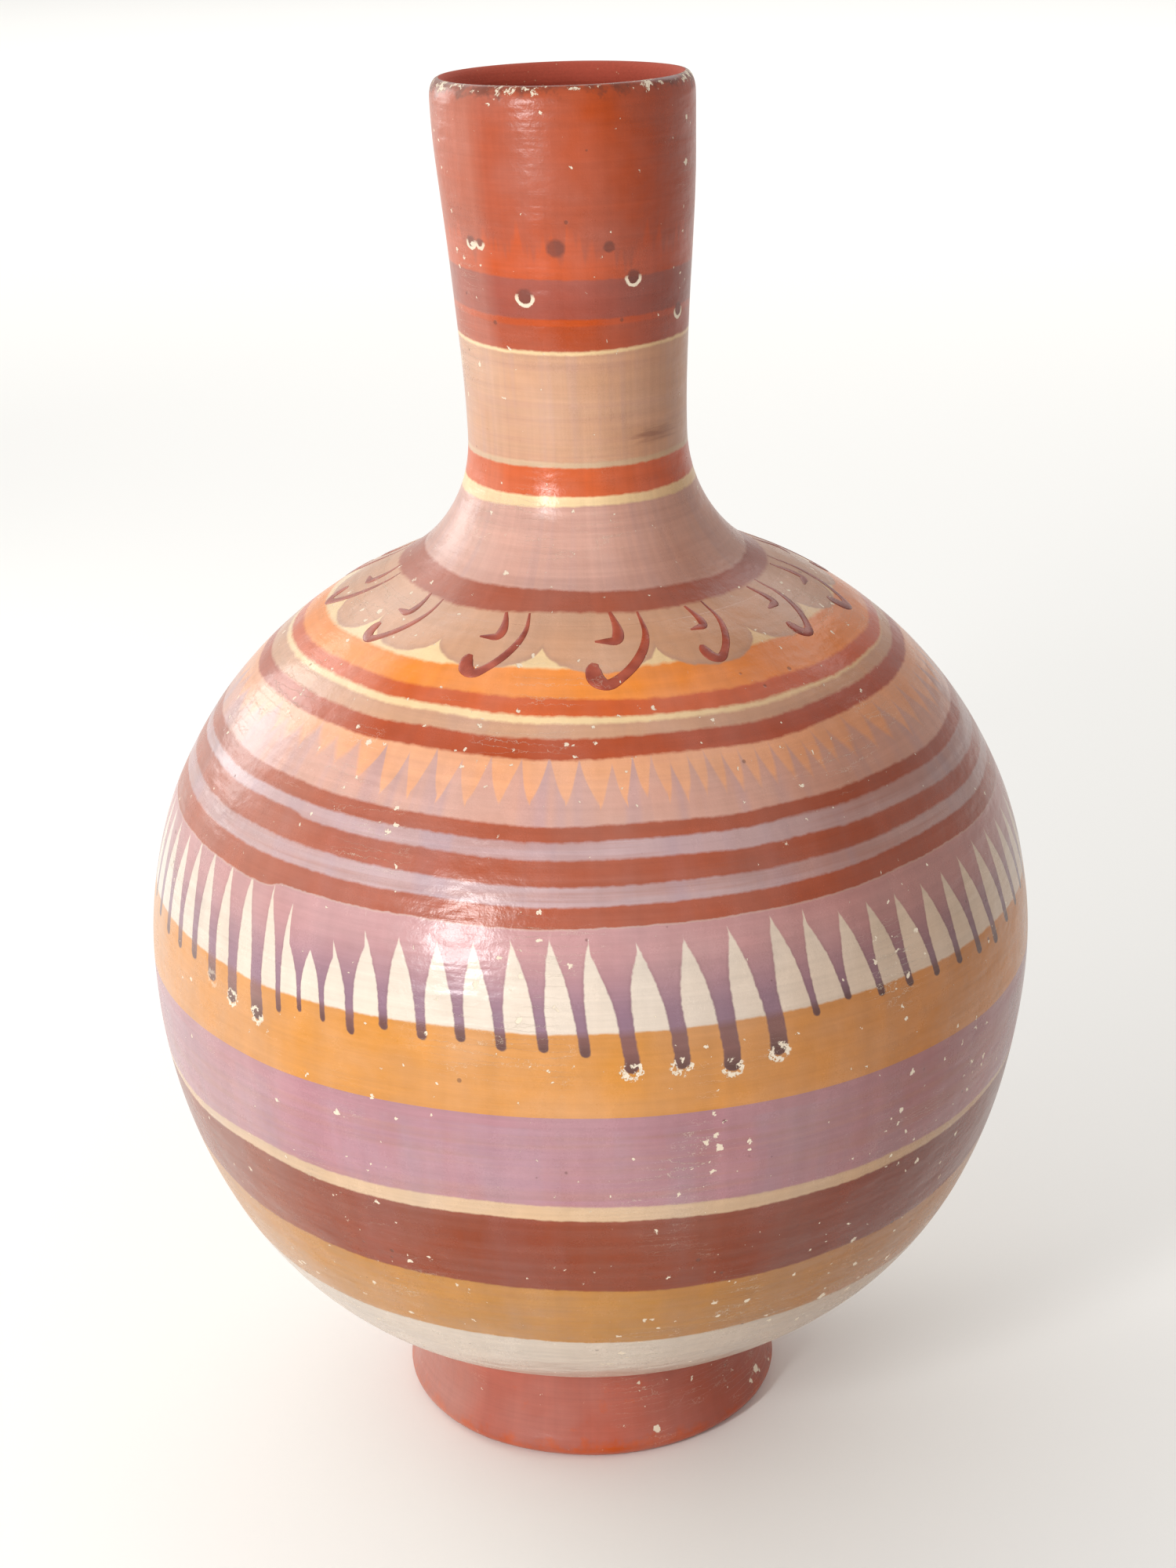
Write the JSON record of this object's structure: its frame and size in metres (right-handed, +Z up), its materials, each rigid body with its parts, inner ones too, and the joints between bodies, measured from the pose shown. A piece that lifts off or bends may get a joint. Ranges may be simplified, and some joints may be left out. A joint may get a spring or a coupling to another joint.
{
  "type": "earthenware vase",
  "caption": "Long-necked burnished earthenware vase with a round belly, a foot ring to stand on and an open mouth for stems, painted in bands of coloured slip.",
  "frame": {"origin": "centre of the face that the foot ring rests on", "axes": "+Z up along the axis of the vase; the side with the longest brushed tongues faces -Y"},
  "size_m": [0.29, 0.29, 0.45],
  "materials": {
    "foot_slip": "brick red slip burnished to a soft gloss, worn orange at the resting edge",
    "bowl_slip": "bands of lavender, orange, maroon, ochre and grey slip, burnished to a soft gloss",
    "shoulder_slip": "bands of orange, red, cream and mauve slip with brushed tongues and hooks, burnished",
    "neck_slip": "brick red and pale tan slip in horizontal brush strokes, burnished",
    "rim_slip": "brick red slip worn through to cream clay along the lip",
    "bare_clay": "unburnished fired clay, wiped smooth by finger"
  },
  "bodies": {
    "root": {"foot_ring": "foot_slip", "foot_luting_coil": "bare_clay", "lower_bowl": "bowl_slip", "belly_luting_coil": "bare_clay", "shoulder_shell": "shoulder_slip", "neck_luting_coil": "bare_clay", "neck_tube": "neck_slip", "rim_coil": "rim_slip"}
  },
  "joints": []
}
